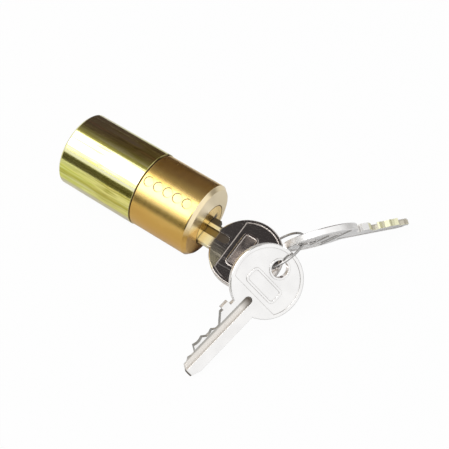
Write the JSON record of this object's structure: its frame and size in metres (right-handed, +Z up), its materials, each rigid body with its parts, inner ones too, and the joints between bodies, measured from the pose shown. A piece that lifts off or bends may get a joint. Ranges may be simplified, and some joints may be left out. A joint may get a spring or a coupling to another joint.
{
  "type": "lock cylinder",
  "caption": "Round pin-tumbler lock cylinder with its working key turned in the plug and spare keys on a wire ring; plug, drive tail, key, ring and spare keys move.",
  "frame": {"origin": "centre of the barrel's rear face", "axes": "+X runs along the barrel from its rear face to the keys, +Z is up as the lock lies on its side on a table, +Y completes the right-handed set and points away from the viewer"},
  "size_m": [0.1096, 0.0898, 0.0288],
  "materials": {
    "sleeve_plating": "yellow zinc plated",
    "housing_brass": "turned",
    "plug_brass": "turned",
    "cap_metal": "turned flush",
    "pin_brass": "turned",
    "spring_steel": "wire",
    "tail_steel": "plain",
    "working_key_nickel": "nickel plated",
    "spare_key_nickel": "nickel plated",
    "ring_steel": "drawn wire"
  },
  "bodies": {
    "lock_body": {"cylinder_housing": "housing_brass", "rear_sleeve": "sleeve_plating", "chamber_cap_1": "cap_metal", "chamber_cap_2": "cap_metal", "chamber_cap_3": "cap_metal", "chamber_cap_4": "cap_metal", "chamber_cap_5": "cap_metal", "driver_spring_1": "spring_steel", "driver_spring_2": "spring_steel", "driver_spring_3": "spring_steel", "driver_spring_4": "spring_steel", "driver_spring_5": "spring_steel"},
    "plug_unit": {"plug": "plug_brass", "key_pin_1": "pin_brass", "key_pin_2": "pin_brass", "key_pin_3": "pin_brass", "key_pin_4": "pin_brass", "key_pin_5": "pin_brass", "plug_clip": "spring_steel", "drive_tail": "tail_steel", "tail_cross_pin": "tail_steel"},
    "driver_1": {"driver_pin_1": "pin_brass"},
    "driver_2": {"driver_pin_2": "pin_brass"},
    "driver_3": {"driver_pin_3": "pin_brass"},
    "driver_4": {"driver_pin_4": "pin_brass"},
    "driver_5": {"driver_pin_5": "pin_brass"},
    "key": {"working_key": "working_key_nickel"},
    "ring": {"key_ring": "ring_steel"},
    "front_spare": {"front_spare_key": "spare_key_nickel"},
    "side_spare": {"side_spare_key": "spare_key_nickel"}
  },
  "joints": [
    {"name": "plug_turn", "type": "hinge", "parent": "lock_body", "child": "plug_unit", "pos_m": [0.0525, 0.00116, -0.0033], "axis": [1, 0, 0], "continuous": true},
    {"name": "key_slide", "type": "slide", "parent": "plug_unit", "child": "key", "axis": [1, 0, 0], "range_m": [0, 0.023]},
    {"name": "ring_swing", "type": "hinge", "parent": "key", "child": "ring", "pos_m": [0.0747, -0.00123, -0.00356], "axis": [0, -0.9943, -0.1063], "range_deg": [0, 45]},
    {"name": "front_spare_swing", "type": "hinge", "parent": "ring", "child": "front_spare", "pos_m": [0.08231, -0.00254, 0.00251], "axis": [-0.875, 0.186, 0.447], "range_deg": [0, 25]},
    {"name": "side_spare_swing", "type": "hinge", "parent": "ring", "child": "side_spare", "pos_m": [0.08469, 0.00977, 0.00554], "axis": [0.7749, -0.4469, -0.4469], "range_deg": [0, 25]},
    {"name": "driver_slide_1", "type": "slide", "parent": "lock_body", "child": "driver_1", "axis": [0, -0.3305, 0.9438], "range_m": [0, 0.0012], "stiffness_N_per_m": 120, "springref_m": -0.003, "deforming": ["driver_spring_1"]},
    {"name": "driver_slide_2", "type": "slide", "parent": "lock_body", "child": "driver_2", "axis": [0, -0.3305, 0.9438], "range_m": [0, 0.0012], "stiffness_N_per_m": 120, "springref_m": -0.003, "deforming": ["driver_spring_2"]},
    {"name": "driver_slide_3", "type": "slide", "parent": "lock_body", "child": "driver_3", "axis": [0, -0.3305, 0.9438], "range_m": [0, 0.0012], "stiffness_N_per_m": 120, "springref_m": -0.003, "deforming": ["driver_spring_3"]},
    {"name": "driver_slide_4", "type": "slide", "parent": "lock_body", "child": "driver_4", "axis": [0, -0.3305, 0.9438], "range_m": [0, 0.0012], "stiffness_N_per_m": 120, "springref_m": -0.003, "deforming": ["driver_spring_4"]},
    {"name": "driver_slide_5", "type": "slide", "parent": "lock_body", "child": "driver_5", "axis": [0, -0.3305, 0.9438], "range_m": [0, 0.0012], "stiffness_N_per_m": 120, "springref_m": -0.003, "deforming": ["driver_spring_5"]}
  ]
}
